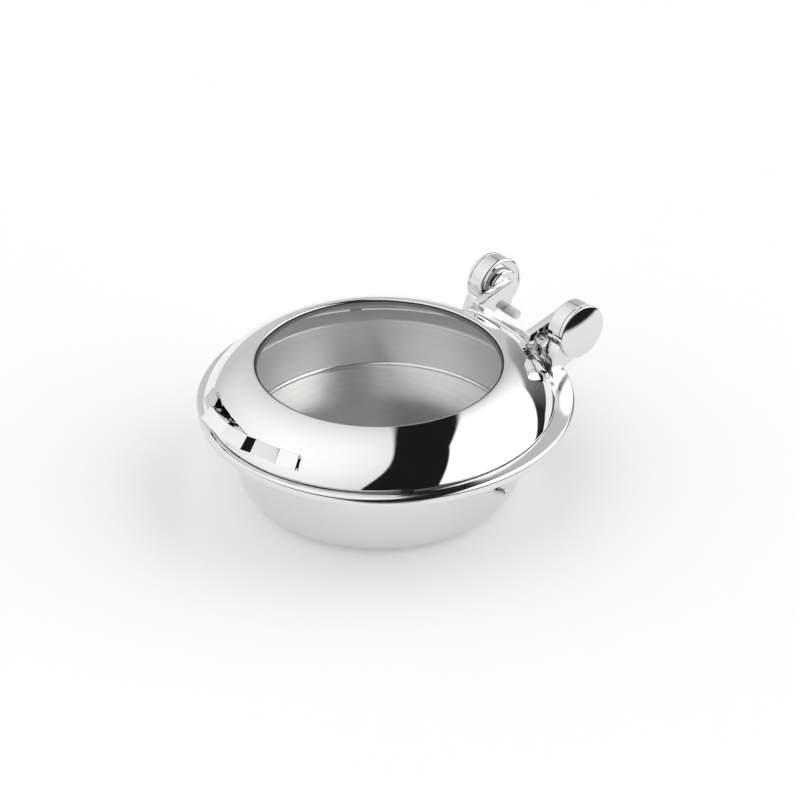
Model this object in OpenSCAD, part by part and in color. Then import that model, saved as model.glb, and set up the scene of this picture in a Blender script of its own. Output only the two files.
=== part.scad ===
// Round chafer: water pan, food pan, hinged dome lid with a glass window, two-drum back hinge.
// Origin: centre of the rest face, on the bowl's axis. +Z up, +Y to the hinge, -Y to the handle.

/* [Water pan] */
// Height of the flange's top face above the rest face
flange_z = 118; // [116:1:122]
// Outer radius of the flange
flange_r = 226; // [225:1:230]
// Distance the flange's circle is set back from the bowl's axis
flange_shift = 9.4; // [9:0.2:11]
// Thickness of the flange and its skirt
flange_t = 1.5; // [1.2:0.1:2]
// Height of the flange's turned-down skirt
skirt_h = 12; // [10:1:16]
// Outer radius of the bowl just below the flange
bowl_r = 183; // [183:0.5:186]
// Radius of the bowl's flat floor
bowl_floor_r = 148; // [140:1:148]
// Outer radius of the bowl's bottom corner
bowl_corner_r = 26; // [18:1:26]
// Sheet thickness of the bowl
bowl_t = 1.2; // [1:0.1:1.5]
// Radius of the induction base disc
base_r = 138; // [120:1:139]
// Thickness of the induction base disc
base_t = 3; // [2:0.5:4]
// Height of the side locating studs above the rest face
stud_z = 56; // [50:1:64]
// Radius of the side locating studs
stud_r = 4; // [3:0.5:5]
// Distance from the bowl's axis to the studs' outer ends
stud_reach = 190; // [187:1:192]
// Angle of the studs from the front
stud_a = 104; // [95:1:110]

/* [Food pan] */
// Radius of the food pan's wall at its mouth, measured inside
pan_mouth_r = 176; // [172:0.5:176.5]
// Radius of the food pan's wall where it meets the floor corner, measured inside
pan_foot_r = 170; // [166:0.5:171]
// Height of the food pan's inner floor above the rest face
pan_floor_z = 58; // [50:1:66]
// Inner radius of the food pan's floor corner
pan_corner_r = 6; // [4:1:16]
// Outer radius of the food pan's rim
pan_rim_r = 203; // [198:1:204]
// Sheet thickness of the food pan
pan_t = 1; // [0.8:0.1:1.2]

/* [Lid] */
// Outer radius of the dome's lower edge
lid_r = 209.8; // [209:0.2:210.6]
// Radius of the window opening's outer lip
window_r = 149.3; // [146:0.5:151]
// Height of the window's lip above the rest face
window_z = 165; // [162:1:168]
// Radius of the dome's rounded section
crown_r = 82; // [78:1:90]
// Sheet thickness of the dome
lid_t = 1.2; // [1:0.1:1.4]
// Gap between the flange and the dome's bead
lid_gap = 1.2; // [1:0.1:1.6]
// Thickness of the window glass
glass_t = 3; // [3:0.5:3.5]
// Rise of the glass in its middle
glass_rise = 2.5; // [1.5:0.5:4]
// Number of screws in the window's clamp ring
clamp_screws = 12; // [8:2:16]

/* [Handle] */
// Angle from the front to the outer end of each handle tab
tab_end_a = 27; // [25:0.5:29]
// Angle from the front to the fold between tab and leg
tab_fold_a = 19.6; // [18.5:0.2:20.5]
// Half length of the raised grip
grip_half = 39; // [34:1:42]
// Distance from the bowl's axis to the grip's upper edge
grip_y = 209; // [207:0.5:213]
// Height of the grip's upper edge in the middle
grip_z = 153; // [151:0.5:157]
// Width of the strap
strap_w = 17.6; // [16:0.2:19]
// Thickness of the strap
strap_t = 2; // [1.6:0.2:2.4]

/* [Hinge] */
// Distance from the bowl's axis back to the hinge axis
hinge_y = 240; // [238:0.5:243]
// Height of the hinge axis above the rest face
hinge_z = 160.5; // [158:0.5:163]
// Outer radius of the hinge drums
drum_r = 34.3; // [32:0.1:36]
// Distance from the middle to the drums' inner faces
drum_in = 63.6; // [62:0.2:66]
// Distance from the middle to the drums' outer edges
drum_out = 91.4; // [90:0.2:94]
// Radius of the hinge pins
pin_r = 6; // [5:0.5:7]
// Running clearance of pins and journals in their bushes
fit_gap = 0.05; // [0.02:0.01:0.08]
// Radius of the turning hubs
hub_r = 22; // [20:0.5:22.5]
// Distance from the middle to the inner faces of the arms
arm_in = 44.5; // [43:0.5:46]
// Thickness of the arms
arm_t = 10.5; // [9:0.5:10.8]
// Radius of the arms' round eyes
arm_eye_r = 11.5; // [10:0.5:13]

/* [Hidden] */
$fn = 96;

steel = "gainsboro";
polished = "silver";
dark_rubber = "dimgray";

// Bowl section: a corner arc on the floor, and a long side arc tangent to it.
bowl_top_z = flange_z - 4;
side_lean = 4;
corner_c = [bowl_floor_r, base_t + bowl_corner_r];
bowl_dr = bowl_r - corner_c[0];
bowl_dz = bowl_top_z - corner_c[1];
side_r = (bowl_dr * bowl_dr + bowl_dz * bowl_dz - bowl_corner_r * bowl_corner_r)
  / (2 * (bowl_dr * cos(side_lean) - bowl_dz * sin(side_lean) - bowl_corner_r));
side_c = [bowl_r - side_r * cos(side_lean), bowl_top_z + side_r * sin(side_lean)];
meet_a = atan2(corner_c[1] - side_c[1], corner_c[0] - side_c[0]);
mouth_fillet = 4;
flange_edge_r = 4;

// Locating stud: a collar on the bowl's wall, and the stud standing out of its flat face.
stud_seat = bowl_r - 2;
collar_r = stud_r + 2;

// Dome section: one arc from the lower bead up to the window's lip.
bead_r = 1.5;
bead_z = flange_z + lid_gap + bead_r;
dome_foot = [lid_r - 0.5, bead_z + 0.6];
dome_half = [window_r - dome_foot[0], window_z - dome_foot[1]] / 2;
dome_h = sqrt(crown_r * crown_r - dome_half * dome_half);
dome_c = dome_foot + dome_half + dome_h * [-dome_half[1], dome_half[0]] / norm(dome_half);
foot_a = atan2(dome_foot[1] - dome_c[1], dome_foot[0] - dome_c[0]);
lip_a = atan2(window_z - dome_c[1], window_r - dome_c[0]);

// Window seat, from the lip's inner wall inwards.
lip_r = window_r - 2.1;
lip_low_z = window_z - 5.8;
seat_r = lip_r + 7;
clamp_t = 1.2;
clamp_in_r = lip_r - 3.6;
clamp_top_z = lip_low_z - 0.05;
clamp_screw_r = lip_r + 4.6;
glass_r = lip_r - 1.3;
glass_z = lip_low_z + 0.9;

// Stations along the hinge axis, as distances from the middle.
hub_face = arm_in + arm_t + 0.05;
hub_step = drum_in - 0.6;
journal_r = 18;
journal_end = drum_in + 6.4;
wall_face = drum_in + 1.5;
wall_back = drum_in + 5.4;
bush_r = 21;
drum_wall = 2;
cap_face = drum_out - 5.4;
pin_start = arm_in + 2.5;
pin_end = drum_out - 2.4;
cap_bush_r = 9;
spring_start = wall_back + 1.5;
spring_w = 5.6;
damper_start = spring_start + spring_w + 0.9;
damper_w = 5.8;

// Hinge seat on the flange.
seat_gap_r = lid_r + 3.5;
seat_out_r = flange_r - flange_edge_r - 0.5;
bridge_t = 3.5;
bridge_half = drum_in;
foot_t = 4;
foot_half = 95.5;
plate_t = 2.2;
plate_z = flange_z - flange_t - plate_t;
screw_spots = [[30, 220], [74, 209], [90, 203]];
screw_r = 2.5;
stop_y = hinge_y - 2;
stop_z = hinge_z - 27.5;
stop_r = 5;
stop_end = 29.5;
stop_spigot_r = 2.4;
yoke_t = 2;
yoke_a = 17;
yoke_low = 31;
yoke_high = 51;
arm_mid = arm_in + arm_t / 2;
arm_screw_t = [36, 42];
arm_screw_a = asin(arm_mid / (dome_c[0] + crown_r * cos(arm_screw_t[1])));
tab_screw_t = [37, 43];
tab_screw_a = (tab_fold_a + tab_end_a) / 2;

// Points along an arc about c.
function arc(c, r, a0, a1, n = 12) =
  [for (i = [0:n]) c + r * [cos(a0 + (a1 - a0) * i / n), sin(a0 + (a1 - a0) * i / n)]];

// A point at height off above the dome, at angle a from the front and t up the dome's section.
function on_dome(a, t, off) =
  let (r = dome_c[0] + (crown_r + off) * cos(t))
  [r * sin(a), -r * cos(a), dome_c[1] + (crown_r + off) * sin(t)];

function unit(v) = v / norm(v);

// Puts children on the dome's face with their +Z along the outward normal.
module at_dome(a, t) {
  p = on_dome(a, t, 0);
  translate(p)
    rotate([0, 0, a - 90])
      rotate([0, 90 - t, 0])
        children();
}

// Puts children, drawn about Z, on the hinge axis: side 1 is right, -1 is left.
module on_axis(side) {
  translate([0, hinge_y, hinge_z])
    rotate([0, 90 * side, 0])
      children();
}

// Draws children at +X and again mirrored at -X.
module both_sides() {
  children();
  mirror([1, 0, 0]) children();
}

// Pan-head screw along +Z, its head below the origin.
module screw(shank_r, length, head_r, head_h) {
  difference() {
    union() {
      cylinder(r = shank_r, h = length);
      translate([0, 0, -head_h]) cylinder(r = head_r, h = head_h + 0.01);
    }
    translate([0, 0, -head_h - 0.01]) cylinder(r = head_r * 0.4, h = head_h * 0.6, $fn = 6);
  }
}

module bowl_outer_solid() {
  rotate_extrude()
    polygon(concat([[0, base_t]],
      arc(corner_c, bowl_corner_r, -90, meet_a, 8),
      arc(side_c, side_r, meet_a, -side_lean, 10),
      [[bowl_r, bowl_top_z], [0, bowl_top_z]]));
}

module water_pan() {
  mouth_c = [bowl_r - bowl_t + mouth_fillet, bowl_top_z];
  edge_c = [flange_r - flange_edge_r, flange_z - flange_edge_r];
  roll_r = 1.8;
  roll_c = [flange_r - roll_r, flange_z - skirt_h + roll_r];
  color(steel)
  difference() {
    union() {
      rotate_extrude()
        polygon(concat([[0, base_t]],
          arc(corner_c, bowl_corner_r, -90, meet_a, 8),
          arc(side_c, side_r, meet_a, -side_lean, 10),
          arc(mouth_c, mouth_fillet - flange_t, 180, 90, 5),
          [[200, flange_z - flange_t], [200, flange_z]],
          arc(mouth_c, mouth_fillet, 90, 180, 5),
          arc(side_c, side_r - bowl_t, -side_lean, meet_a, 10),
          arc(corner_c, bowl_corner_r - bowl_t, meet_a, -90, 8),
          [[0, base_t + bowl_t]]));
      translate([0, 0, flange_z - flange_t])
        linear_extrude(flange_t)
          difference() {
            translate([0, flange_shift]) circle(r = edge_c[0]);
            circle(r = 196);
          }
      translate([0, flange_shift, 0])
        rotate_extrude()
          polygon(concat([[edge_c[0] - 2, flange_z - flange_t], [edge_c[0] - 2, flange_z]],
            arc(edge_c, flange_edge_r, 90, 0, 6),
            arc(roll_c, roll_r, 0, -180, 8),
            [[roll_c[0] - roll_r, roll_c[1] + 1], [flange_r - flange_t, roll_c[1] + 1]],
            arc(edge_c, flange_edge_r - flange_t, 0, 90, 6)));
    }
    both_sides()
      for (s = screw_spots)
        translate([s[0], s[1], plate_z]) cylinder(r = screw_r + 0.25, h = 10, $fn = 32);
  }
}

module induction_base() {
  color("darkgray")
    rotate_extrude()
      polygon(concat([[0, 0]], arc([base_r - 1, 1], 1, -90, 0, 3),
        [[base_r, base_t - 0.05], [0, base_t - 0.05]]));
}

module locating_studs() {
  color(polished)
  both_sides()
    difference() {
      rotate([0, 0, stud_a - 90])
        translate([0, 0, stud_z])
          rotate([0, 90, 0])
            rotate_extrude($fn = 48)
              polygon([[0, bowl_floor_r], [collar_r, bowl_floor_r], [collar_r, stud_seat],
                [stud_r, stud_seat], [stud_r, stud_reach - 1], [stud_r - 1, stud_reach],
                [0, stud_reach]]);
      bowl_outer_solid();
    }
}

module food_pan() {
  rim_z = flange_z + 2.2;
  lip = 1.1;
  foot_c = [pan_foot_r - pan_corner_r, pan_floor_z + pan_corner_r];
  mouth_c = [pan_mouth_r + mouth_fillet, rim_z - mouth_fillet];
  color(steel)
  rotate_extrude()
    polygon(concat([[0, pan_floor_z - pan_t]],
      arc(foot_c, pan_corner_r + pan_t, -90, 0, 8),
      arc(mouth_c, mouth_fillet - pan_t, 180, 90, 5),
      [[pan_rim_r - lip, rim_z - pan_t], [pan_rim_r - lip, flange_z + 0.05],
        [pan_rim_r, flange_z + 0.05]],
      arc([pan_rim_r - lip, rim_z - lip], lip, 0, 90, 4),
      arc(mouth_c, mouth_fillet, 90, 180, 6),
      arc(foot_c, pan_corner_r, 0, -90, 8),
      [[0, pan_floor_z]]));
}

// A solid under the dome's outer face raised by off, between two radii.
module dome_solid(off) {
  rotate_extrude()
    polygon(concat([[0, flange_z]], [[lid_r + off, flange_z]],
      arc(dome_c, crown_r + off, foot_a, lip_a, 20), [[0, window_z + off]]));
}

module lid_shell() {
  lip_t = lid_t;
  color(polished)
  difference() {
    rotate_extrude()
      polygon(concat(
        arc([lid_r - bead_r, bead_z], bead_r, 20, -210, 12),
        arc(dome_c, crown_r - lid_t, foot_a + 0.5, lip_a, 20),
        [[lip_r + lip_t, window_z - lip_t - 0.6], [lip_r + lip_t, lip_low_z + lip_t],
          [seat_r, lip_low_z + lip_t], [seat_r, lip_low_z], [lip_r, lip_low_z],
          [lip_r, window_z - 1.2], [lip_r + 0.5, window_z - 0.4]],
        arc(dome_c, crown_r, lip_a, foot_a, 20)));
    for (a = [0:360 / clamp_screws:359])
      rotate([0, 0, a])
        translate([clamp_screw_r, 0, lip_low_z - 1]) cylinder(r = 1.3, h = 3, $fn = 24);
    for (s = [-1, 1]) {
      for (t = tab_screw_t)
        at_dome(s * tab_screw_a, t)
          translate([0, 0, -4]) cylinder(r = 1.7, h = 8, $fn = 24);
      for (t = arm_screw_t)
        at_dome(180 - s * arm_screw_a, t)
          translate([0, 0, -4]) cylinder(r = 2.2, h = 8, $fn = 24);
    }
  }
}

module lid_glass() {
  ball_r = (glass_r * glass_r + glass_rise * glass_rise) / (2 * glass_rise);
  tilt = asin(glass_r / ball_r);
  color("lightcyan", 0.4)
  rotate_extrude()
    polygon(concat(
      arc([0, glass_z - ball_r * cos(tilt)], ball_r, 90, 90 - tilt, 10),
      arc([0, glass_z + glass_t - ball_r * cos(tilt)], ball_r, 90 - tilt, 90, 10)));
}

module glass_gasket() {
  leg = 1.8;
  cover = 0.6;
  top_z = glass_z + glass_t;
  color(dark_rubber)
  rotate_extrude()
    polygon([[glass_r - leg, lip_low_z], [lip_r - 0.05, lip_low_z], [lip_r - 0.05, top_z + cover],
      [glass_r - cover, top_z + cover], [glass_r - cover, top_z + 0.1],
      [glass_r + 0.05, top_z + 0.1], [glass_r + 0.05, glass_z - 0.05],
      [glass_r - leg, glass_z - 0.05]]);
}

module glass_clamp_ring() {
  color(steel)
  difference() {
    translate([0, 0, clamp_top_z - clamp_t])
      linear_extrude(clamp_t)
        difference() {
          circle(r = seat_r);
          circle(r = clamp_in_r);
        }
    for (a = [0:360 / clamp_screws:359])
      rotate([0, 0, a])
        translate([clamp_screw_r, 0, clamp_top_z - 2]) cylinder(r = 1.4, h = 3, $fn = 24);
  }
}

module clamp_ring_screws() {
  color(polished)
  for (a = [0:360 / clamp_screws:359])
    rotate([0, 0, a])
      translate([clamp_screw_r, 0, clamp_top_z - clamp_t - 0.02])
        screw(1.25, 3, 2.4, 1.4, $fn = 24);
}

module lid_bumpers() {
  color(dark_rubber)
  for (a = [30:60:359])
    rotate([0, 0, a])
      rotate_extrude(angle = 4)
        translate([lid_r - 2.4, flange_z + 0.1]) square([1.8, lid_gap - 0.12]);
}

// Outer corners of the strap, upper and lower edge, from the right tab's end to the middle.
grip_drop = [0.785, 0.62];
strap_right = [
  [on_dome(tab_end_a, 46.2, 3.1), on_dome(tab_end_a, 33.9, 3.1)],
  [on_dome(tab_fold_a, 46.2, 3.1), on_dome(tab_fold_a, 33.9, 3.1)],
  [[grip_half + 4.6, 7 - grip_y, grip_z + 1.5], [grip_half + 7.1, -4 - grip_y, grip_z - 12]],
  [[grip_half - 1, 0.5 - grip_y, grip_z + 5], [grip_half + 1, -11.5 - grip_y, grip_z - 7.8]],
  [[0, -grip_y, grip_z],
    [0, -grip_y - strap_w * grip_drop[0], grip_z - strap_w * grip_drop[1]]]
];
strap = concat(strap_right,
  [for (i = [3:-1:0]) [for (p = strap_right[i]) [-p[0], p[1], p[2]]]]);

// Inward direction across the strap at station i.
function strap_in(i) =
  let (before = strap[max(i - 1, 0)][0], after = strap[min(i + 1, 8)][0])
  unit(cross(after - before, strap[i][1] - strap[i][0]));

module lid_handle() {
  points = [for (i = [0:8]) each [strap[i][0], strap[i][1],
    strap[i][1] + strap_t * strap_in(i), strap[i][0] + strap_t * strap_in(i)]];
  sides = [for (i = [0:7]) for (k = [0:3])
    let (a = 4 * i + k, b = 4 * i + (k + 1) % 4) each [[a, b, b + 4], [a, b + 4, a + 4]]];
  color(polished)
  difference() {
    polyhedron(points, concat([[3, 2, 1, 0]], sides, [[32, 33, 34, 35]]), convexity = 6);
    for (s = [-1, 1])
      for (t = tab_screw_t)
        at_dome(s * tab_screw_a, t)
          translate([0, 0, -1]) cylinder(r = 1.5, h = 2.4, $fn = 24);
  }
}

module handle_screws() {
  color(steel)
  for (s = [-1, 1])
    for (t = tab_screw_t)
      at_dome(s * tab_screw_a, t)
        translate([0, 0, -lid_t - 0.1]) screw(1.45, 2.4, 2.4, 1.2, $fn = 24);
}

module hinge_yoke() {
  color(polished)
  difference() {
    rotate([0, 0, 90 - yoke_a])
      rotate_extrude(angle = 2 * yoke_a)
        polygon(concat(arc(dome_c, crown_r + 0.08, yoke_low, yoke_high, 8),
          arc(dome_c, crown_r + yoke_t, yoke_high, yoke_low, 8)));
    for (s = [-1, 1])
      for (t = arm_screw_t)
        at_dome(180 - s * arm_screw_a, t)
          translate([0, 0, -1]) cylinder(r = 2.2, h = 8, $fn = 24);
  }
}

module hinge_arm(side) {
  eye_top = [hinge_y - arm_eye_r * sin(14), hinge_z + arm_eye_r * cos(14)];
  stop_foot_z = stop_z + stop_r + 1.9;
  color(polished)
  difference() {
    translate([side * arm_mid + arm_t / 2, 0, 0])
      rotate([0, -90, 0])
        linear_extrude(arm_t)
          union() {
            translate([hinge_z, hinge_y]) circle(r = arm_eye_r);
            polygon([for (p = [[186, 141], [187, 157], [188.5, 158.5], eye_top,
              [hinge_y + 5, hinge_z], [hinge_y + 3.5, 149.5], [hinge_y + 2, 141],
              [hinge_y - 1, stop_foot_z], [214, stop_foot_z - 1], [211, 136.5],
              [207.5, 126], [204, 122]]) [p[1], p[0]]]);
          }
    dome_solid(yoke_t + 0.08);
    on_axis(side)
      translate([0, 0, pin_start - 0.5]) cylinder(r = pin_r, h = 20);
    translate([side * arm_mid, hinge_y, hinge_z - 20]) cylinder(r = 2, h = 20, $fn = 32);
    for (t = arm_screw_t)
      at_dome(180 - side * arm_screw_a, t) cylinder(r = 2, h = 9, $fn = 32);
  }
}

module arm_screws() {
  color(steel)
  for (s = [-1, 1])
    for (t = arm_screw_t)
      at_dome(180 - s * arm_screw_a, t)
        translate([0, 0, -lid_t - 0.1]) screw(1.95, 9.5, 3.6, 2, $fn = 32);
}

module arm_set_screws() {
  color("dimgray")
  both_sides()
    translate([arm_mid, hinge_y, hinge_z - arm_eye_r + 0.5])
      difference() {
        cylinder(r = 1.95, h = arm_eye_r - pin_r - 0.55, $fn = 32);
        translate([0, 0, -0.1]) cylinder(r = 1, h = 2, $fn = 6);
      }
}

module hinge_hub(side) {
  color(polished)
  on_axis(side)
    rotate_extrude()
      polygon([[pin_r, hub_face], [hub_r - 1.2, hub_face], [hub_r, hub_face + 1.2],
        [hub_r, hub_step], [journal_r, hub_step], [journal_r, journal_end],
        [pin_r, journal_end]]);
}

module hinge_pin(side) {
  color(steel)
  on_axis(side)
    translate([0, 0, pin_start]) cylinder(r = pin_r, h = pin_end - pin_start);
}

module hub_bush(side) {
  color("whitesmoke")
  on_axis(side)
    rotate_extrude()
      polygon([[journal_r + fit_gap, hub_step + 0.9], [bush_r + 2, hub_step + 0.9],
        [bush_r + 2, wall_face - 0.02], [bush_r - 0.02, wall_face - 0.02],
        [bush_r - 0.02, wall_back], [journal_r + fit_gap, wall_back]]);
}

module cap_bush(side) {
  color("whitesmoke")
  on_axis(side)
    translate([0, 0, cap_face - 2.8])
      difference() {
        cylinder(r = cap_bush_r - 0.02, h = 6);
        translate([0, 0, -1]) cylinder(r = pin_r + fit_gap, h = 8);
      }
}

// Flat spiral strip, wound from the pin out to the drum.
module hinge_spring(side) {
  strip = 1.2;
  turns = 3.6;
  r0 = pin_r + 4;
  r1 = drum_r - drum_wall - 0.8;
  steps = 90;
  outer = [for (i = [0:steps]) let (a = 360 * turns * i / steps, r = r0 + (r1 - r0) * i / steps)
    r * [cos(a), sin(a)]];
  inner = [for (i = [steps:-1:0]) let (a = 360 * turns * i / steps, r = r0 + (r1 - r0) * i / steps)
    (r - strip) * [cos(a), sin(a)]];
  color("slategray")
  on_axis(side)
    translate([0, 0, spring_start])
      linear_extrude(spring_w) polygon(concat(outer, inner));
}

module damper_body(side) {
  out_r = drum_r - drum_wall - 0.1;
  color("darkslategray")
  on_axis(side)
    rotate_extrude()
      polygon([[19.5, damper_start], [out_r, damper_start], [out_r, damper_start + damper_w],
        [pin_r + 1, damper_start + damper_w], [pin_r + 1, damper_start + damper_w - 0.8],
        [19.5, damper_start + damper_w - 0.8]]);
}

module damper_rotor(side) {
  color("ivory")
  on_axis(side)
    translate([0, 0, damper_start + 0.3])
      linear_extrude(damper_w - 1.6)
        difference() {
          union() {
            circle(r = 13);
            for (a = [0, 180])
              rotate(a) translate([0, -2.5]) square([19, 5]);
          }
          circle(r = pin_r);
        }
}

module hinge_drum(side) {
  edge = 3.4;
  color(polished)
  difference() {
    on_axis(side)
      rotate_extrude()
        polygon(concat([[bush_r, wall_back], [bush_r, wall_face],
          [drum_r - edge - 1.4, wall_face], [drum_r - edge - 1.2, drum_in]],
          arc([drum_r - edge, drum_in + edge], edge, -90, 0, 6),
          [[drum_r, cap_face], [drum_r - drum_wall, cap_face],
            [drum_r - drum_wall, wall_back]]));
    translate([side * (drum_in - 1), stop_y, stop_z])
      rotate([0, 90 * side, 0]) cylinder(r = stop_spigot_r + 0.02, h = 8, $fn = 48);
  }
}

module drum_cap(side) {
  edge = 1.8;
  rise = 3;
  face_r = drum_r - edge;
  ball_r = (face_r * face_r + rise * rise) / (2 * rise);
  rim_a = acos(face_r / ball_r);
  spigot_r = drum_r - drum_wall - 0.1;
  color(polished)
  on_axis(side)
    rotate_extrude()
      polygon(concat([[0, pin_end + 0.6], [cap_bush_r, pin_end + 0.6],
        [cap_bush_r, cap_face - 2.9], [cap_bush_r + 3, cap_face - 2.9],
        [cap_bush_r + 3, cap_face + 0.05], [spigot_r - 2.5, cap_face + 0.05],
        [spigot_r - 2.5, cap_face - 2.8], [spigot_r, cap_face - 2.8],
        [spigot_r, cap_face + 0.05], [drum_r, cap_face + 0.05]],
        arc([face_r, drum_out - edge], edge, 0, rim_a, 5),
        arc([0, drum_out + rise - ball_r], ball_r, rim_a, 90, 8)));
}

// Part of the flange's top between the lid and the flange's edge, from x0 to x1.
module flange_seat(x0, x1, height) {
  linear_extrude(height)
    intersection() {
      difference() {
        translate([0, flange_shift]) circle(r = seat_out_r);
        circle(r = seat_gap_r);
      }
      translate([x0, 100]) square([x1 - x0, 160]);
    }
}

module hinge_bracket(side) {
  foot_in = bridge_half + 0.3;
  post_in = drum_in + 3.6;
  post_w = 21;
  color(polished)
  mirror([side < 0 ? 1 : 0, 0, 0])
    difference() {
      union() {
        translate([0, 0, flange_z]) flange_seat(foot_in, foot_half, foot_t);
        difference() {
          translate([post_in + post_w, 0, 0])
            rotate([0, -90, 0])
              linear_extrude(post_w)
                polygon([for (p = [[190, flange_z + 1], [196, 128], [204, 146], [207.2, 150],
                  [hinge_y - 6, 131], [hinge_y - 5, 127], [216, flange_z + 1]]) [p[1], p[0]]]);
          translate([0, 0, flange_z - 1]) cylinder(r = seat_gap_r + 0.01, h = 60);
        }
      }
      on_axis(1) translate([0, 0, drum_in - 1]) cylinder(r = drum_r + 0.03, h = 40);
      for (i = [1, 2])
        translate([screw_spots[i][0], screw_spots[i][1], flange_z - 1])
          cylinder(r = screw_r, h = 4.2, $fn = 32);
    }
}

module hinge_bridge() {
  color(polished)
  difference() {
    translate([0, 0, flange_z]) flange_seat(-bridge_half, bridge_half, bridge_t);
    both_sides()
      translate([screw_spots[0][0], screw_spots[0][1], flange_z - 1])
        cylinder(r = screw_r, h = 4, $fn = 32);
  }
}

module backing_plate() {
  color(steel)
  difference() {
    translate([0, 0, plate_z])
      linear_extrude(plate_t - 0.05)
        intersection() {
          difference() {
            translate([0, flange_shift]) circle(r = flange_r - 8);
            circle(r = bowl_r + 8);
          }
          translate([-foot_half, 100]) square([2 * foot_half, 160]);
        }
    both_sides()
      for (s = screw_spots)
        translate([s[0], s[1], plate_z - 1]) cylinder(r = screw_r + 0.25, h = 5, $fn = 32);
  }
}

module bracket_screws() {
  color(steel)
  both_sides()
    for (s = screw_spots)
      translate([s[0], s[1], plate_z - 1.05]) screw(screw_r - 0.02, 7.4, 4.5, 3, $fn = 32);
}

module bracket_washers() {
  color("lightgray")
  both_sides()
    for (s = screw_spots)
      translate([s[0], s[1], plate_z - 1.02])
        difference() {
          cylinder(r = 5.5, h = 1, $fn = 48);
          translate([0, 0, -1]) cylinder(r = screw_r + 0.2, h = 3, $fn = 48);
        }
}

module stop_rods() {
  shoulder = drum_in - 0.02;
  spigot_end = wall_back - 0.3;
  color(polished)
  both_sides()
    translate([0, stop_y, stop_z])
      rotate([0, 90, 0])
        rotate_extrude()
          polygon([[0, stop_end], [stop_r - 1, stop_end], [stop_r, stop_end + 1],
            [stop_r, shoulder], [stop_spigot_r, shoulder], [stop_spigot_r, spigot_end],
            [0, spigot_end]]);
}

module stop_buffers() {
  bore_r = stop_r + 0.02;
  sleeve_r = stop_r + 1.5;
  closed_end = stop_end - 2;
  open_end = arm_in + arm_t - 0.5;
  color("lightgray")
  both_sides()
    translate([0, stop_y, stop_z])
      rotate([0, 90, 0])
        rotate_extrude()
          polygon([[0, closed_end], [sleeve_r - 1, closed_end], [sleeve_r, closed_end + 1],
            [sleeve_r, open_end - 0.6], [sleeve_r - 0.6, open_end], [bore_r, open_end],
            [bore_r, stop_end - 0.02], [0, stop_end - 0.02]]);
}

water_pan();
induction_base();
locating_studs();
food_pan();
lid_shell();
lid_glass();
glass_gasket();
glass_clamp_ring();
clamp_ring_screws();
lid_bumpers();
lid_handle();
handle_screws();
hinge_yoke();
hinge_arm(-1);  // hinge_arm_left
hinge_arm(1);  // hinge_arm_right
arm_screws();
arm_set_screws();
hinge_hub(-1);  // hinge_hub_left
hinge_hub(1);  // hinge_hub_right
hinge_pin(-1);  // hinge_pin_left
hinge_pin(1);  // hinge_pin_right
hub_bush(-1);  // hub_bush_left
hub_bush(1);  // hub_bush_right
cap_bush(-1);  // cap_bush_left
cap_bush(1);  // cap_bush_right
hinge_spring(-1);  // hinge_spring_left
hinge_spring(1);  // hinge_spring_right
damper_body(-1);  // damper_body_left
damper_body(1);  // damper_body_right
damper_rotor(-1);  // damper_rotor_left
damper_rotor(1);  // damper_rotor_right
hinge_drum(-1);  // hinge_drum_left
hinge_drum(1);  // hinge_drum_right
drum_cap(-1);  // drum_cap_left
drum_cap(1);  // drum_cap_right
hinge_bracket(-1);  // hinge_bracket_left
hinge_bracket(1);  // hinge_bracket_right
hinge_bridge();
backing_plate();
bracket_screws();
bracket_washers();
stop_rods();
stop_buffers();
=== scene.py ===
"""Round chafer with a hinged dome lid: looks, floor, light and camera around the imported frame."""
import math

import bmesh
import bpy
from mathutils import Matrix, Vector


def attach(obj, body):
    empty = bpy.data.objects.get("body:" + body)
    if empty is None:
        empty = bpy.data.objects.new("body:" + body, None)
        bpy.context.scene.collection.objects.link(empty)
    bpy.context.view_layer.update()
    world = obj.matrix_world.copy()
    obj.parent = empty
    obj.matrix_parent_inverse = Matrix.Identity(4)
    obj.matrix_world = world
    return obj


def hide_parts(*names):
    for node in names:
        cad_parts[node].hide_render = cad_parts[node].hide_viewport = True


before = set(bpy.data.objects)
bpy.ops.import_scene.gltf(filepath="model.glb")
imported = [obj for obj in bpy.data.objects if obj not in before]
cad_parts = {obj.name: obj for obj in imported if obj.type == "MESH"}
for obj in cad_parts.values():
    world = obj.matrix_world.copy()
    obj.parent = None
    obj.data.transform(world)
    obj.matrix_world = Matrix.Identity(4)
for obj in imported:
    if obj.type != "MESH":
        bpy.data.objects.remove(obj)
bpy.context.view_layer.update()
MM = 0.001


# ---------------------------------------------------------------- materials

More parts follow.
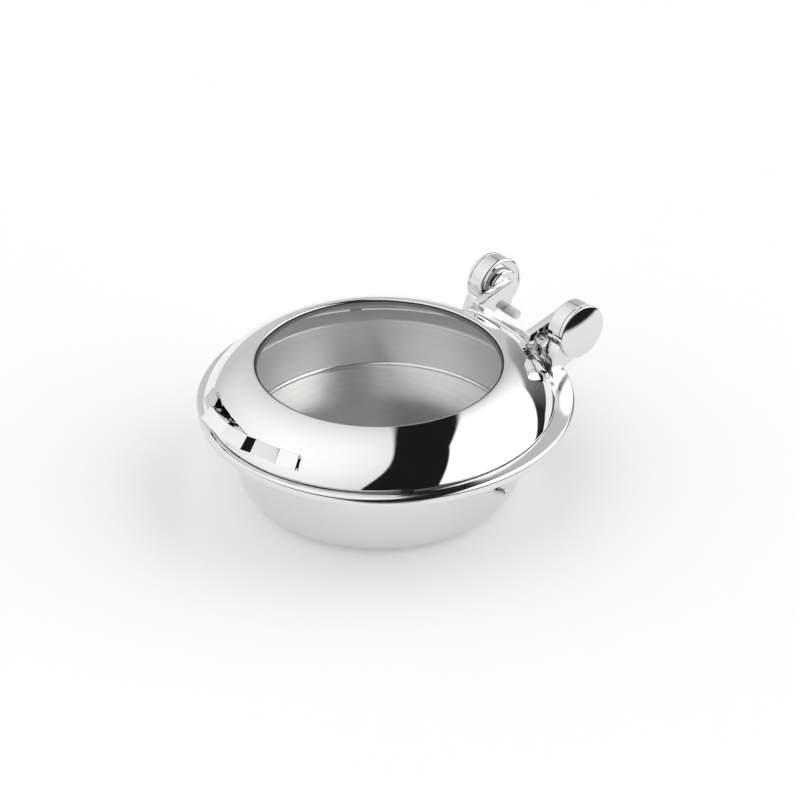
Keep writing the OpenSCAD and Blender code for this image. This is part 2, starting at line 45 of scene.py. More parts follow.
class Nodes:
    """A short way to build a node tree."""

    def __init__(self, tree):
        self.tree = tree
        tree.nodes.clear()

    def add(self, kind, sockets=None, **settings):
        node = self.tree.nodes.new(kind)
        for key, value in settings.items():
            setattr(node, key, value)
        for key, value in (sockets or {}).items():
            if isinstance(value, bpy.types.NodeSocket):
                self.tree.links.new(value, node.inputs[key])
            else:
                node.inputs[key].default_value = value
        return node

    def math(self, operation, *values):
        return self.add("ShaderNodeMath", dict(enumerate(values)), operation=operation).outputs[0]

    def vector(self, operation, first, second):
        node = self.add("ShaderNodeVectorMath", {0: first, 1: second}, operation=operation)
        return node.outputs["Value" if operation == "DOT_PRODUCT" else "Vector"]

    def ramp(self, value, low, high, to_low=0.0, to_high=1.0, kind="LINEAR"):
        return self.add("ShaderNodeMapRange", {"Value": value, "From Min": low, "From Max": high,
                                               "To Min": to_low, "To Max": to_high},
                        interpolation_type=kind).outputs["Result"]

    def noise(self, vector, scale, detail=3.0, roughness=0.5):
        return self.add("ShaderNodeTexNoise", {"Vector": vector, "Scale": scale, "Detail": detail,
                                               "Roughness": roughness}).outputs["Fac"]

    def mix(self, factor, a, b):
        node = self.add("ShaderNodeMix", data_type="RGBA")
        for socket, value in ((0, factor), (6, a), (7, b)):
            if isinstance(value, bpy.types.NodeSocket):
                self.tree.links.new(value, node.inputs[socket])
            else:
                node.inputs[socket].default_value = value
        return node.outputs[2]


def new_material(name):
    material = bpy.data.materials.new(name)
    material.use_nodes = True
    return material, Nodes(material.node_tree)


def grey(value, warm=0.0):
    return (value * (1 + warm), value, value * (1 - warm), 1.0)


def ring_coordinates(nodes, centre, across):
    """Radius and height about an axis, from object coordinates: across is 'Z' or 'X'."""
    place = nodes.add("ShaderNodeTexCoord").outputs["Object"]
    moved = nodes.vector("SUBTRACT", place, centre)
    split = nodes.add("ShaderNodeSeparateXYZ", {0: moved})
    x, y, z = split.outputs
    first, along = (x, z) if across == "Z" else (z, x)
    radius = nodes.math("SQRT", nodes.math("ADD", nodes.math("MULTIPLY", first, first),
                                           nodes.math("MULTIPLY", y, y)))
    return moved, radius, along


def polished_steel(name, tone=0.80, rough=0.045, centre=(0, 0, 0), across="Z", lines=1.0, smear=1.0):
    """Mirror-polished stainless steel: faint buffing lines in rings, soft smears and a few wipe marks."""
    material, nodes = new_material(name)
    moved, radius, along = ring_coordinates(nodes, centre, across)
    rings = nodes.add("ShaderNodeCombineXYZ", {0: nodes.math("MULTIPLY", radius, 2600.0),
                                               1: nodes.math("MULTIPLY", along, 2600.0), 2: 0.0}).outputs[0]
    drift = nodes.vector("MULTIPLY", moved, (9.0, 9.0, 9.0))
    lined = nodes.noise(nodes.vector("ADD", rings, drift), 1.0, 2.0)
    cloud = nodes.noise(moved, 14.0, 4.0, 0.6)
    wipes = nodes.noise(nodes.vector("MULTIPLY", moved, (40.0, 6.0, 24.0)), 3.0, 5.0, 0.65)
    smears = nodes.math("MULTIPLY", nodes.ramp(wipes, 0.52, 0.75), 0.03 * smear)
    roughness = nodes.math("ADD", nodes.ramp(cloud, 0.3, 0.7, rough * 0.75, rough * 1.3),
                           nodes.math("ADD", smears, nodes.ramp(lined, 0.35, 0.65, -0.008, 0.008)))
    colour = nodes.mix(nodes.ramp(cloud, 0.35, 0.65), grey(tone * 0.985, 0.006), grey(tone * 1.01, 0.002))
    bump = nodes.add("ShaderNodeBump", {"Height": lined, "Strength": 0.02 * lines, "Distance": 0.00005})
    shader = nodes.add("ShaderNodeBsdfPrincipled", {"Base Color": colour, "Metallic": 1.0,
                                                    "Roughness": roughness, "Normal": bump.outputs[0]})
    nodes.add("ShaderNodeOutputMaterial", {"Surface": shader.outputs[0]})
    return material


def satin_steel(name, tone=0.66, rough=0.27, aniso=0.6, depth=1.0, centre=(0, 0, 0), across="Z", warm=0.01,
                upper=None):
    """Brushed stainless steel, its fine scratches running in rings about an axis.

    The last argument is (from, to, roughness times, tone times): between two heights the roughness is scaled,
    and the colour is scaled too, a painted lightening of the part above."""
    material, nodes = new_material(name)
    moved, radius, along = ring_coordinates(nodes, centre, across)
    broad = nodes.add("ShaderNodeCombineXYZ", {0: nodes.math("MULTIPLY", radius, 420.0),
                                               1: nodes.math("MULTIPLY", along, 420.0), 2: 0.0}).outputs[0]
    fine = nodes.add("ShaderNodeCombineXYZ", {0: nodes.math("MULTIPLY", radius, 2300.0),
                                              1: nodes.math("MULTIPLY", along, 2300.0), 2: 0.0}).outputs[0]
    broken = nodes.vector("MULTIPLY", moved, (60.0, 60.0, 60.0))
    scratch = nodes.noise(nodes.vector("ADD", fine, broken), 1.0, 3.0, 0.6)
    band = nodes.noise(broad, 1.0, 2.0)
    cloud = nodes.noise(moved, 9.0, 3.0)
    roughness = nodes.math("ADD", nodes.ramp(scratch, 0.3, 0.7, rough * 0.8, rough * 1.2),
                           nodes.ramp(cloud, 0.3, 0.7, rough * -0.08, rough * 0.1))
    colour = nodes.mix(nodes.ramp(band, 0.35, 0.65), grey(tone * 0.96, warm), grey(tone * 1.03, warm))
    if upper:
        low, high, rough_times, painted_tone_times = upper
        roughness = nodes.math("MULTIPLY", roughness, nodes.ramp(along, low, high, 1.0, rough_times))
        # Painted light: above the given heights the colour is scaled lighter.
        painted_lighter_above = nodes.ramp(along, low, high, 1.0, painted_tone_times)
        colour = nodes.add("ShaderNodeVectorMath", {0: colour, "Scale": painted_lighter_above},
                           operation="SCALE").outputs[0]
    bump = nodes.add("ShaderNodeBump", {"Height": scratch, "Strength": 0.05 * depth, "Distance": 0.0001})
    tangent = nodes.add("ShaderNodeTangent", direction_type="RADIAL", axis=across)
    shader = nodes.add("ShaderNodeBsdfPrincipled",
                       {"Base Color": colour, "Metallic": 1.0, "Roughness": roughness, "Anisotropic": aniso,
                        "Anisotropic Rotation": 0.25, "Normal": bump.outputs[0],
                        "Tangent": tangent.outputs[0]})
    nodes.add("ShaderNodeOutputMaterial", {"Surface": shader.outputs[0]})
    return material


def moulded(name, colour, rough, grain=700.0, depth=0.15, spread=0.12):
    """Rubber or plastic with a fine moulded grain and a slightly uneven colour."""
    material, nodes = new_material(name)
    place = nodes.add("ShaderNodeTexCoord").outputs["Object"]
    fine = nodes.noise(place, grain, 4.0, 0.6)
    cloud = nodes.noise(place, 45.0, 3.0)
    dark = tuple(c * (1 - spread) for c in colour) + (1.0,)
    light = tuple(c * (1 + spread) for c in colour) + (1.0,)
    bump = nodes.add("ShaderNodeBump", {"Height": fine, "Strength": depth, "Distance": 0.0002})
    shader = nodes.add("ShaderNodeBsdfPrincipled",
                       {"Base Color": nodes.mix(nodes.ramp(cloud, 0.35, 0.65), dark, light),
                        "Roughness": nodes.ramp(fine, 0.3, 0.7, rough - 0.06, rough + 0.06),
                        "Normal": bump.outputs[0]})
    nodes.add("ShaderNodeOutputMaterial", {"Surface": shader.outputs[0]})
    return material


def window_glass(name):
    """Clear toughened glass: sees through, and mirrors more at grazing angles, from both its faces."""
    material, nodes = new_material(name)
    place = nodes.add("ShaderNodeTexCoord").outputs["Object"]
    cloud = nodes.noise(place, 12.0, 3.0)
    wave = nodes.noise(place, 5.0, 1.0)
    bump = nodes.add("ShaderNodeBump", {"Height": wave, "Strength": 0.03, "Distance": 0.001})
    clear = nodes.add("ShaderNodeBsdfTransparent", {"Color": (0.975, 0.980, 0.968, 1.0)})
    gloss = nodes.add("ShaderNodeBsdfGlossy", {"Color": (1.0, 1.0, 1.0, 1.0),
                                               "Roughness": nodes.ramp(cloud, 0.3, 0.7, 0.0, 0.02),
                                               "Normal": bump.outputs[0]})
    outside = nodes.math("SUBTRACT", 1.0, nodes.add("ShaderNodeNewGeometry").outputs["Backfacing"])
    both_faces = nodes.math("MULTIPLY", nodes.add("ShaderNodeFresnel", {"IOR": 1.5}).outputs[0], 1.85)
    film = nodes.math("MINIMUM", nodes.math("MULTIPLY", both_faces, outside), 1.0)
    both = nodes.add("ShaderNodeMixShader", {0: film, 1: clear.outputs[0], 2: gloss.outputs[0]})
    nodes.add("ShaderNodeOutputMaterial", {"Surface": both.outputs[0]})
    return material


# ---------------------------------------------------------------- sizes, in mm, as in the frame

FLANGE_Z, FLANGE_R, FLANGE_SHIFT, FLANGE_T = 118.0, 226.0, 9.4, 1.5
HINGE = (0.0, 240.0, 160.5)
HINGE_M = [c * MM for c in HINGE]
LID_R, BEAD_R = 209.8, 1.5
WINDOW_R, WINDOW_Z, CROWN_R, LID_T = 149.3, 165.0, 82.0, 1.2
BEAD_Z = FLANGE_Z + 1.2 + BEAD_R
LIP_R = WINDOW_R - 2.1
LIP_LOW = WINDOW_Z - 5.8
GLASS_R, GLASS_Z, GLASS_T = LIP_R - 1.3, LIP_LOW + 0.9, 3.0


def arc(centre, radius, start, end, steps=12):
    """Points along an arc, in degrees."""
    angles = (math.radians(start + (end - start) * i / steps) for i in range(steps + 1))
    return [(centre[0] + radius * math.cos(a), centre[1] + radius * math.sin(a)) for a in angles]


def soften(points, radius, steps=3, sharper_than=25.0, closed=True):
    """Rounds each corner of a section that turns by more than an angle."""
    result = []
    count = len(points)
    for i, point in enumerate(points):
        if not closed and i in (0, count - 1):
            result.append(point)
            continue
        before, after = points[i - 1], points[(i + 1) % count]
        inx, iny = point[0] - before[0], point[1] - before[1]
        outx, outy = after[0] - point[0], after[1] - point[1]
        len_in, len_out = math.hypot(inx, iny), math.hypot(outx, outy)
        if len_in < 1e-6 or len_out < 1e-6:
            continue
        turn = math.degrees(math.atan2(inx * outy - iny * outx, inx * outx + iny * outy))
        if abs(turn) < sharper_than or point[0] < 1e-6:
            result.append(point)
            continue
        cut = min(radius * math.tan(math.radians(min(abs(turn), 150) / 2)), 0.4 * len_in, 0.4 * len_out)
        start = (point[0] - inx / len_in * cut, point[1] - iny / len_in * cut)
        end = (point[0] + outx / len_out * cut, point[1] + outy / len_out * cut)
        for k in range(steps + 1):
            t = k / steps
            result.append(tuple((1 - t) ** 2 * start[c] + 2 * t * (1 - t) * point[c] + t * t * end[c]
                                for c in (0, 1)))
    return result


def finish_mesh(name, bm, material, body, nodes, sharp=38.0):
    """Turns a bmesh in mm into a piece that rides on a body and stands for CAD nodes."""
    bmesh.ops.recalc_face_normals(bm, faces=bm.faces)
    mesh = bpy.data.meshes.new(name)
    bm.to_mesh(mesh)
    bm.free()
    for vertex in mesh.vertices:
        vertex.co *= MM
    mesh.shade_smooth()
    mesh.set_sharp_from_angle(angle=math.radians(sharp))
    mesh.materials.append(material)
    piece = bpy.data.objects.new(name, mesh)
    bpy.context.scene.collection.objects.link(piece)
    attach(piece, body)
    if nodes:
        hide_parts(*nodes)
    return piece


def lathe_into(bm, section, place, steps):
    """Revolves a closed section of (radius, height) or (radius, height, shift) points."""
    rows = []
    for point in section:
        if point[0] < 1e-6:
            rows.append([bm.verts.new(place(0.0, 0.0, point))] * steps)
        else:
            rows.append([bm.verts.new(place(math.cos(2 * math.pi * k / steps),
                                            math.sin(2 * math.pi * k / steps), point))
                         for k in range(steps)])
    for i, row in enumerate(rows):
        after = rows[(i + 1) % len(rows)]
        for k in range(steps):
            corners = []
            for vertex in (row[k], row[(k + 1) % steps], after[(k + 1) % steps], after[k]):
                if vertex not in corners:
                    corners.append(vertex)
            if len(corners) > 2:
                bm.faces.new(corners)


def about_z(c, s, point):
    shift = point[2] if len(point) > 2 else 0.0
    return point[0] * c, point[0] * s + shift, point[1]


def about_hinge(side):
    return lambda c, s, point: (side * point[1], HINGE[1] + point[0] * c, HINGE[2] + point[0] * s)


def lathe(name, section, material, body, nodes, place=about_z, steps=256, sharp=38.0):
    bm = bmesh.new()
    lathe_into(bm, section, place, steps)
    return finish_mesh(name, bm, material, body, nodes, sharp)


def refined(name, node, material, body, bevels):
    """A copy of a CAD node with its edges rounded over: bevels lists (sharper than, width, segments)."""
    bm = bmesh.new()
    bm.from_mesh(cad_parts[node].data)
    for vertex in bm.verts:
        vertex.co /= MM
    bmesh.ops.remove_doubles(bm, verts=bm.verts, dist=0.002)
    bmesh.ops.dissolve_limit(bm, angle_limit=math.radians(1.5), verts=bm.verts, edges=bm.edges)
    for sharper_than, width, segments in bevels:
        edges = [e for e in bm.edges if len(e.link_faces) == 2
                 and sharper_than < math.degrees(e.calc_face_angle(0.0))]
        bmesh.ops.bevel(bm, geom=edges, offset=width, offset_type="OFFSET", segments=segments, profile=0.5,
                        affect="EDGES", clamp_overlap=True)
    bmesh.ops.triangulate(bm, faces=[f for f in bm.faces if len(f.verts) > 4])
    sharp_edge = 32.0
    return finish_mesh(name, bm, material, body, [node], sharp_edge)


def dress_cad(material_of):
    """Gives each CAD node that no finer piece replaces its material."""
    for node, material in material_of.items():
        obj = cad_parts[node]
        obj.data.materials.clear()
        obj.data.materials.append(material)


# ---------------------------------------------------------------- the materials in use

mirror_dome = polished_steel("polished_dome", 0.84, 0.03)
mirror_bowl = polished_steel("polished_bowl", 0.80, 0.11, smear=0.6)
mirror_hinge = polished_steel("polished_hinge", 0.76, 0.05, HINGE_M, "X", 1.5)
mirror_cast = polished_steel("polished_castings", 0.75, 0.06, lines=2.0)
mirror_strap = polished_steel("polished_strap", 0.84, 0.05, lines=2.0)
# The food pan's wall is painted lighter than its floor (tone times 1.12), and is also rougher.
pan_satin = satin_steel("satin_pan", 0.88, 0.19, 0.3, 0.12, warm=0.0, upper=(0.060, 0.066, 2.2, 1.12))
inner_satin = satin_steel("satin_lid_inside", 0.97, 0.65, 0.2, 0.15, warm=0.0)
plain_satin = satin_steel("satin_plate", 0.55, 0.32, 0.3)
screw_satin = satin_steel("satin_fasteners", 0.60, 0.25, 0.2, 0.6)
pin_satin = satin_steel("ground_pins", 0.62, 0.2, 0.4, 0.6, HINGE_M, "X")
base_turned = satin_steel("turned_base", 0.33, 0.42, 0.5, 2.5, warm=0.0)
black_steel = satin_steel("blackened_steel", 0.10, 0.4, 0.0)
spring_blue = satin_steel("blued_spring", 0.28, 0.3, 0.2, warm=-0.12)
rubber = moulded("black_rubber", (0.018, 0.018, 0.019), 0.55)
silicone = moulded("grey_silicone", (0.76, 0.76, 0.75), 0.42, 600.0, 0.08, 0.05)
bush = moulded("bearing_plastic", (0.60, 0.60, 0.59), 0.45, 500.0, 0.1)
case = moulded("damper_case", (0.03, 0.034, 0.036), 0.42, 600.0, 0.1)
vane = moulded("damper_vane", (0.74, 0.71, 0.62), 0.45, 600.0, 0.08)
glass = window_glass("window_glass")


# ---------------------------------------------------------------- water pan

def bowl_curves():
    floor_r, corner, lean, top_r, base = 148.0, 26.0, 4.0, 183.0, 3.0
    top_z = FLANGE_Z - 4
    corner_c = (floor_r, base + corner)
    dr, dz = top_r - corner_c[0], top_z - corner_c[1]
    side_r = ((dr * dr + dz * dz - corner * corner)
              / (2 * (dr * math.cos(math.radians(lean)) - dz * math.sin(math.radians(lean)) - corner)))
    side_c = (top_r - side_r * math.cos(math.radians(lean)), top_z + side_r * math.sin(math.radians(lean)))
    meet = math.degrees(math.atan2(corner_c[1] - side_c[1], corner_c[0] - side_c[0]))
    return corner_c, corner, side_c, side_r, meet, lean, top_r, top_z, base


def water_pan():
    corner_c, corner, side_c, side_r, meet, lean, top_r, top_z, base = bowl_curves()
    sheet = 1.2
    mouth_c = (top_r - sheet + 4, top_z)
    edge_c = (FLANGE_R - 4, FLANGE_Z - 4)
    roll_c = (FLANGE_R - 1.8, FLANGE_Z - 12 + 1.8)
    outer = [(0.0, base)] + arc(corner_c, corner, -90, meet, 20) + arc(side_c, side_r, meet, -lean, 24)[1:]
    outer += arc(mouth_c, 4 - FLANGE_T, 180, 90, 8)
    inner = arc(mouth_c, 4, 90, 180, 10) + arc(side_c, side_r - sheet, -lean, meet, 24)[1:]
    inner += arc(corner_c, corner - sheet, meet, -90, 20)[1:] + [(0.0, base + sheet)]
    under = [(196, FLANGE_Z - FLANGE_T, 0.0), (205, FLANGE_Z - FLANGE_T, FLANGE_SHIFT)]
    rim = [(p[0], p[1], FLANGE_SHIFT) for p in
           arc(edge_c, 4 - FLANGE_T, 90, 0, 8) + [(FLANGE_R - FLANGE_T, roll_c[1] + 1)]
           + [(roll_c[0] - 1.8, roll_c[1] + 1)] + arc(roll_c, 1.8, 180, 360, 14)
           + arc(edge_c, 4, 0, 90, 12)]
    over = [(213, FLANGE_Z, FLANGE_SHIFT), (196, FLANGE_Z, 0.0)]
    section = [(p[0], p[1], 0.0) for p in outer] + under + rim + over + [(p[0], p[1], 0.0) for p in inner]
    lathe("water_pan_body", section, mirror_bowl, "base", ["water_pan"], steps=384)


def food_pan():
    rim_z = FLANGE_Z + 2.2
    corner = 6.0
    foot_c, mouth_c = (170.0 - corner, 58.0 + corner), (180.0, rim_z - 4)
    section = [(0.0, 57.0)] + arc(foot_c, corner + 1, -90, 0, 12) + arc(mouth_c, 3, 180, 90, 8)
    rim_in, seat_z = 201.9, FLANGE_Z + 0.05
    section += soften([(rim_in, rim_z - 1), (rim_in, seat_z), (203, seat_z)], 0.3, closed=False)
    section += arc((rim_in, rim_z - 1.1), 1.1, 0, 90, 8) + arc(mouth_c, 4, 90, 180, 10)
    section += arc(foot_c, corner, 0, -90, 16) + [(0.0, 58.0)]
    lathe("food_pan_body", section, pan_satin, "food_pan", ["food_pan"], steps=320)


def dome_curve():
    foot = (LID_R - 0.5, BEAD_Z + 0.6)
    half = ((WINDOW_R - foot[0]) / 2, (WINDOW_Z - foot[1]) / 2)
    size = math.hypot(*half)
    height = math.sqrt(CROWN_R ** 2 - size ** 2)
    centre = (foot[0] + half[0] - height * half[1] / size, foot[1] + half[1] + height * half[0] / size)
    foot_a = math.degrees(math.atan2(foot[1] - centre[1], foot[0] - centre[0]))
    lip_a = math.degrees(math.atan2(WINDOW_Z - centre[1], WINDOW_R - centre[0]))
    return centre, foot_a, lip_a


DOME_C, FOOT_A, LIP_A = dome_curve()


def lid_shell():
    section = arc((LID_R - BEAD_R, BEAD_Z), BEAD_R, 20, -210, 20)
    section += arc(DOME_C, CROWN_R - LID_T, FOOT_A + 0.5, LIP_A, 40)
    seat = [(LIP_R + LID_T, WINDOW_Z - LID_T - 0.6), (LIP_R + LID_T, LIP_LOW + LID_T),
            (LIP_R + 7, LIP_LOW + LID_T), (LIP_R + 7, LIP_LOW), (LIP_R, LIP_LOW), (LIP_R, WINDOW_Z - 1.3)]
    section += soften(seat, 0.4, closed=False)
    section += [(LIP_R + 0.15, WINDOW_Z - 0.75), (LIP_R + 0.55, WINDOW_Z - 0.3),
                (LIP_R + 1.2, WINDOW_Z - 0.06)]
    section += arc(DOME_C, CROWN_R, LIP_A, FOOT_A, 56)
    dome = lathe("lid_dome", section, mirror_dome, "lid", ["lid_shell"],
                 steps=448, sharp=50.0)
    # The side over the food is left satin: the faces that look inwards and down.
    dome.data.materials.append(inner_satin)
    for face in dome.data.polygons:
        outwards = face.normal.x * face.center.x + face.normal.y * face.center.y
        looks_down = face.normal.z < -0.1
        if outwards < 0 and looks_down:
            face.material_index = 1


def lid_glass():
    rise = 2.5
    ball = (GLASS_R ** 2 + rise ** 2) / (2 * rise)
    tilt = math.degrees(math.asin(GLASS_R / ball))
    low = (0.0, GLASS_Z - ball * math.cos(math.radians(tilt)))
    high = (0.0, low[1] + GLASS_T)
    section = [(0.0, low[1] + ball)] + arc(low, ball, 90, 90 - tilt, 24)[1:]
    section += arc(high, ball, 90 - tilt, 90, 24)[:-1] + [(0.0, high[1] + ball)]
    lathe("window_pane", section, glass, "lid", ["lid_glass"], steps=256)


def glass_gasket():
    leg, cover = 1.8, 0.6
    top = GLASS_Z + GLASS_T
    gap = 0.05
    section = soften([(GLASS_R - leg, LIP_LOW), (LIP_R - gap, LIP_LOW), (LIP_R - gap, top + cover),
                      (GLASS_R - cover, top + cover), (GLASS_R - cover, top + 2 * gap),
                      (GLASS_R + gap, top + 2 * gap), (GLASS_R + gap, GLASS_Z - gap),
                      (GLASS_R - leg, GLASS_Z - gap)], 0.25)
    lathe("window_gasket", section, rubber, "lid", ["glass_gasket"], steps=256)


# ---------------------------------------------------------------- hinge

def cap_section():
    """The drum cap: a rim that fits the drum, a socket for the bush, and a gently domed face."""
    edge, rise, face_r, drum_out = 1.8, 3.0, 32.5, 91.4
    ball = (face_r ** 2 + rise ** 2) / (2 * rise)
    rim_a = math.degrees(math.acos(face_r / ball))
    section = [(0.0, 89.6), (9, 89.6), (9, 83.1), (12, 83.1), (12, 86.05), (29.7, 86.05), (29.7, 83.2),
               (32.2, 83.2), (32.2, 86.05), (33.9, 86.05), (34.3, 86.5)]
    section += arc((face_r, drum_out - edge), edge, 0, rim_a, 10)
    return section + arc((0.0, drum_out + rise - ball), ball, rim_a, 90, 20)[1:-1] + [(0.0, drum_out + rise)]


def on_dome(angle, tilt, off):
    """A point above the dome: angle from the front, tilt up the dome's section, in degrees."""
    a, t = math.radians(angle), math.radians(tilt)
    r = DOME_C[0] + (CROWN_R + off) * math.cos(t)
    return Vector((r * math.sin(a), -r * math.cos(a), DOME_C[1] + (CROWN_R + off) * math.sin(t)))


def handle_stations():
    """Upper and lower outer corners of the strap where it ends or bends, from right to left."""
    half, y, z, width = 39.0, 209.0, 153.0, 17.6
    tab_end, tab_fold = 27.0, 19.6
    top_tilt, foot_tilt, off = 46.2, 33.9, 3.1
    right = [(on_dome(tab_end, top_tilt, off), on_dome(tab_end, foot_tilt, off)),
             (on_dome(tab_fold, top_tilt, off), on_dome(tab_fold, foot_tilt, off)),
             (Vector((half + 4.6, 7.9 - y, z + 1.5)), Vector((half + 7.1, -3.1 - y, z - 12))),
             (Vector((half - 1, 0.5 - y, z + 5)), Vector((half + 1, -11.5 - y, z - 7.8))),
             (Vector((0, -y, z)), Vector((0, -y - width * 0.785, z - width * 0.62)))]
    mirror = Vector((-1, 1, 1))
    return right + [(high * mirror, low * mirror) for high, low in reversed(right[:-1])]


def handle_strap():
    """The bent strap: flat between its bends, with small creases pressed into the outer face at the two tab
    folds and the middle bend.
    """
    stations = handle_stations()
    thick, reach, crease, edge = 2.0, 0.8, 0.6, 0.4
    creased = (1, 4, 7)
    sharp_bend = 14.0
    rings = []

    def ring(high, low, inward, sunk=0.0):
        across = (low - high).normalized()
        start = [high + inward * (sunk + edge), high + inward * sunk + across * edge,
                 low + inward * sunk - across * edge, low + inward * (sunk + edge)]
        end = [low + inward * (thick - edge), low + inward * thick - across * edge,
               high + inward * thick + across * edge, high + inward * (thick - edge)]
        rings.append(start + end)

    def inward_at(along, high, low):
        return along.cross(low - high).normalized()

    last = len(stations) - 1
    for i, (high, low) in enumerate(stations):
        before = stations[i - 1] if i else None
        after = stations[i + 1] if i < last else None
        here = (high, low)
        ways = [b[0] - a[0] for a, b in ((before, here), (here, after)) if a and b]
        faces = [inward_at(way, high, low) for way in ways]
        middle = sum(faces, Vector()).normalized()
        if before:
            ring(high.lerp(before[0], reach / (high - before[0]).length),
                 low.lerp(before[1], reach / (low - before[1]).length), faces[0])
        ring(high, low, middle, crease if i in creased else 0.0)
        if after:
            ring(high.lerp(after[0], reach / (high - after[0]).length),
                 low.lerp(after[1], reach / (low - after[1]).length), faces[-1])
    bm = bmesh.new()
    rows = [[bm.verts.new(point) for point in points] for points in rings]
    count = len(rows[0])
    for row, after in zip(rows, rows[1:]):
        for k in range(count):
            bm.faces.new((row[k], row[(k + 1) % count], after[(k + 1) % count], after[k]))
    bm.faces.new(rows[0])
    bm.faces.new(rows[-1])
    bmesh.ops.triangulate(bm, faces=[f for f in bm.faces if len(f.verts) == 4])
    finish_mesh("handle_strap", bm, mirror_strap, "lid", ["lid_handle"], sharp_bend)


def hinge_side(side, tag):
    place = about_hinge(side)
    hub = soften([(6.0, 55.05), (20.8, 55.05), (22, 56.25), (22, 63.0), (18, 63.0), (18, 70.0),
                  (6.0, 70.0)], 0.5)
    lathe("hub_" + tag, hub, mirror_hinge, "lid", ["hinge_hub_" + tag], place, 160)
    drum = soften([(21, 69.0), (21, 65.1), (29.5, 65.1), (29.7, 63.6)], 0.3, closed=False)
    drum += arc((30.9, 67.0), 3.4, -90, 0, 12) + [(34.3, 85.55), (33.9, 86.0), (32.3, 86.0), (32.3, 69.0)]
    lathe("drum_" + tag, drum, mirror_hinge, "base", ["hinge_drum_" + tag], place, 224)
    lathe("drum_cap_" + tag + "_turned", cap_section(), mirror_hinge, "base", ["drum_cap_" + tag],
          place, 224)
    refined("arm_" + tag, "hinge_arm_" + tag, mirror_cast, "lid", [(28.0, 0.8, 3)])
    refined("bracket_" + tag, "hinge_bracket_" + tag, mirror_cast, "base", [(28.0, 0.7, 3)])


water_pan()
food_pan()
lid_shell()
lid_glass()
glass_gasket()
for side, tag in ((-1, "left"), (1, "right")):
    hinge_side(side, tag)
handle_strap()
refined("yoke_plate", "hinge_yoke", mirror_dome, "lid", [(28.0, 0.5, 2)])
refined("bridge_plate", "hinge_bridge", mirror_cast, "base", [(28.0, 0.5, 2)])

dress_cad({
    "induction_base": base_turned, "locating_studs": mirror_cast, "glass_clamp_ring": plain_satin,
    "clamp_ring_screws": screw_satin, "lid_bumpers": rubber, "handle_screws": screw_satin,
    "arm_screws": screw_satin, "arm_set_screws": black_steel, "hinge_pin_left": pin_satin,
    "hinge_pin_right": pin_satin, "hub_bush_left": bush, "hub_bush_right": bush, "cap_bush_left": bush,
    "cap_bush_right": bush, "hinge_spring_left": spring_blue, "hinge_spring_right": spring_blue,
    "damper_body_left": case, "damper_body_right": case, "damper_rotor_left": vane,
    "damper_rotor_right": vane, "backing_plate": plain_satin, "bracket_screws": screw_satin,
    "bracket_washers": screw_satin, "stop_rods": mirror_cast, "stop_buffers": silicone,
})


# ---------------------------------------------------------------- floor, light and camera

def floor():
    """A pale floor; mirrored in the object, its right and front-right parts are painted dark, a painted
    reflection of darkness there.
    """
    material, nodes = new_material("floor")
    place = nodes.add("ShaderNodeTexCoord").outputs["Object"]
    cloud = nodes.noise(place, 2.0, 3.0)
    paper = nodes.add("ShaderNodeBsdfPrincipled",
                      {"Base Color": nodes.mix(cloud, grey(0.91), grey(0.93)), "Roughness": 0.9,
                       "Specular IOR Level": 0.1, "Emission Color": grey(1.0), "Emission Strength": 0.16})
    # Painted reflection: seen only by mirror rays, the floor's right and front-right parts are drawn nearly
    # black.
    right = nodes.ramp(nodes.add("ShaderNodeSeparateXYZ", {0: place}).outputs["X"], 0.42, 0.48)
    front_right_painted_dark = nodes.ramp(nodes.vector("DOT_PRODUCT", place, (0.809, -0.588, 0.0)), 0.372, 0.388)
    mirrored = nodes.add("ShaderNodeLightPath").outputs["Is Glossy Ray"]
    dark = nodes.add("ShaderNodeEmission", {"Color": grey(1.0), "Strength": 0.015})
    shader = nodes.add("ShaderNodeMixShader",
                       {0: nodes.math("MULTIPLY", mirrored, nodes.math("MAXIMUM", right, front_right_painted_dark)),
                        1: paper.outputs[0], 2: dark.outputs[0]})
    nodes.add("ShaderNodeOutputMaterial", {"Surface": shader.outputs[0]})
    mesh = bpy.data.meshes.new("floor")
    size = 40.0
    mesh.from_pydata([(-size, -size, 0), (size, -size, 0), (size, size, 0), (-size, size, 0)], [],
                     [(0, 1, 2, 3)])
    mesh.materials.append(material)
    plane = bpy.data.objects.new("floor", mesh)
    plane.location.z = -0.0002
    bpy.context.scene.collection.objects.link(plane)


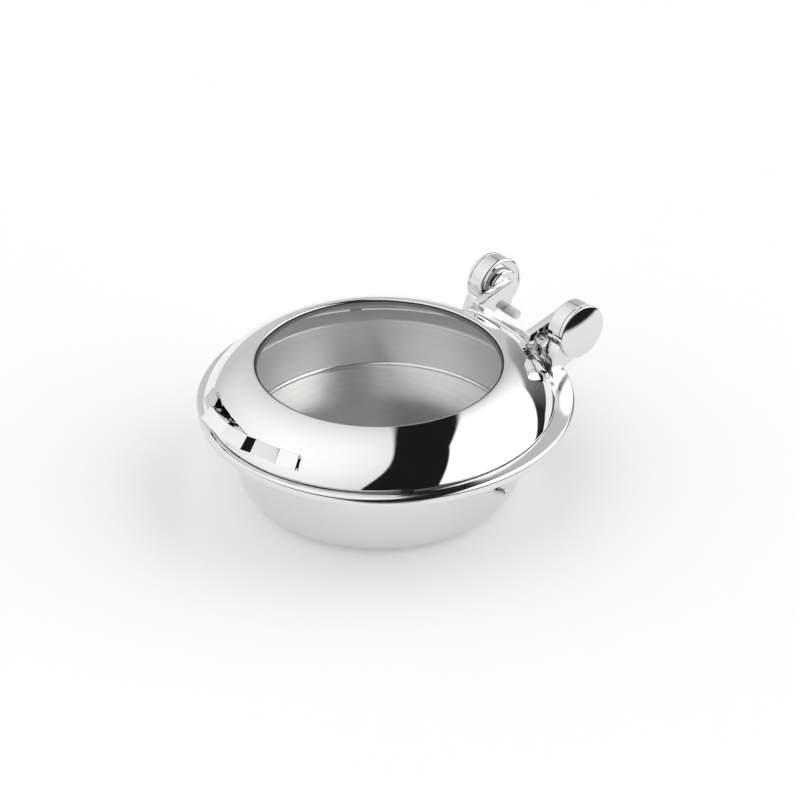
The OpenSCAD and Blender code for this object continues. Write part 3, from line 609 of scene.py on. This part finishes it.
def studio():
    """Two wide softboxes with a dark gap between them, as directions around the object."""
    world = bpy.data.worlds.new("studio")
    bpy.context.scene.world = world
    world.use_nodes = True
    nodes = Nodes(world.node_tree)
    way = nodes.add("ShaderNodeTexCoord").outputs["Generated"]

    def towards(direction, offset=0.0):
        return nodes.math("ADD", nodes.vector("DOT_PRODUCT", way, direction), offset)

    def edge(value, soft=0.02):
        return nodes.ramp(value, -soft, soft, kind="SMOOTHSTEP")

    # The front softbox covers the zenith and the left; its edge turns a rounded corner.
    front = edge(nodes.math("SMOOTH_MIN", towards((-0.531, -0.843, 0.046), 0.038),
                            towards((-0.779, -0.494, 0.387), 0.014), 0.38), 0.014)
    front = nodes.math("MULTIPLY", front, nodes.ramp(towards((-0.220, -0.604, 0.766)), 0.30, 1.0, 0.66, 1.18))
    # The back softbox has a bright middle on the right and falls off to the left.
    back = edge(nodes.math("MINIMUM", towards((0.310, 0.846, -0.433), -0.004),
                           towards((0.151, 0.915, -0.375), -0.022)), 0.014)
    middle = towards((0.527, 0.628, 0.574))
    back = nodes.math("MULTIPLY", back, nodes.ramp(middle, 0.45, 0.96, 0.62, 1.9))
    # A dark flag stands low behind the object, fading to the left.
    flag = nodes.math("MULTIPLY", edge(towards((-0.632, 0.206, -0.747)), 0.02),
                      edge(towards((0.0, 0.0, -1.0), 0.42), 0.04))
    fade = nodes.math("POWER", nodes.ramp(towards((0.866, 0.5, 0.0)), -0.12, 0.5), 0.4)
    flag = nodes.math("MULTIPLY", nodes.math("MULTIPLY", flag, fade), 0.98)
    back = nodes.math("MULTIPLY", back, nodes.math("SUBTRACT", 1.0, flag))
    strength = nodes.math("MAXIMUM", nodes.math("MAXIMUM", front, back), 0.012)
    seen = nodes.add("ShaderNodeLightPath").outputs["Is Camera Ray"]
    shown = nodes.add("ShaderNodeMix", {0: seen, 2: strength, 3: 1.0}, data_type="FLOAT").outputs[0]
    light = nodes.add("ShaderNodeBackground", {"Color": (1.0, 0.995, 0.99, 1.0), "Strength": shown})
    nodes.add("ShaderNodeOutputWorld", {"Surface": light.outputs[0]})


def camera():
    """A long lens above the front right, looking down at the pan."""
    data = bpy.data.cameras.new("camera")
    data.lens = 79.59
    data.sensor_width = 36.0
    data.clip_start, data.clip_end = 0.05, 100.0
    obj = bpy.data.objects.new("camera", data)
    obj.location = (1.4525, -1.0631, 1.2216)
    obj.rotation_euler = (math.radians(90 - 31.742), 0.0, math.radians(53.018))
    bpy.context.scene.collection.objects.link(obj)
    bpy.context.scene.camera = obj


floor()
studio()
camera()
bpy.context.scene.view_settings.view_transform = "Standard"
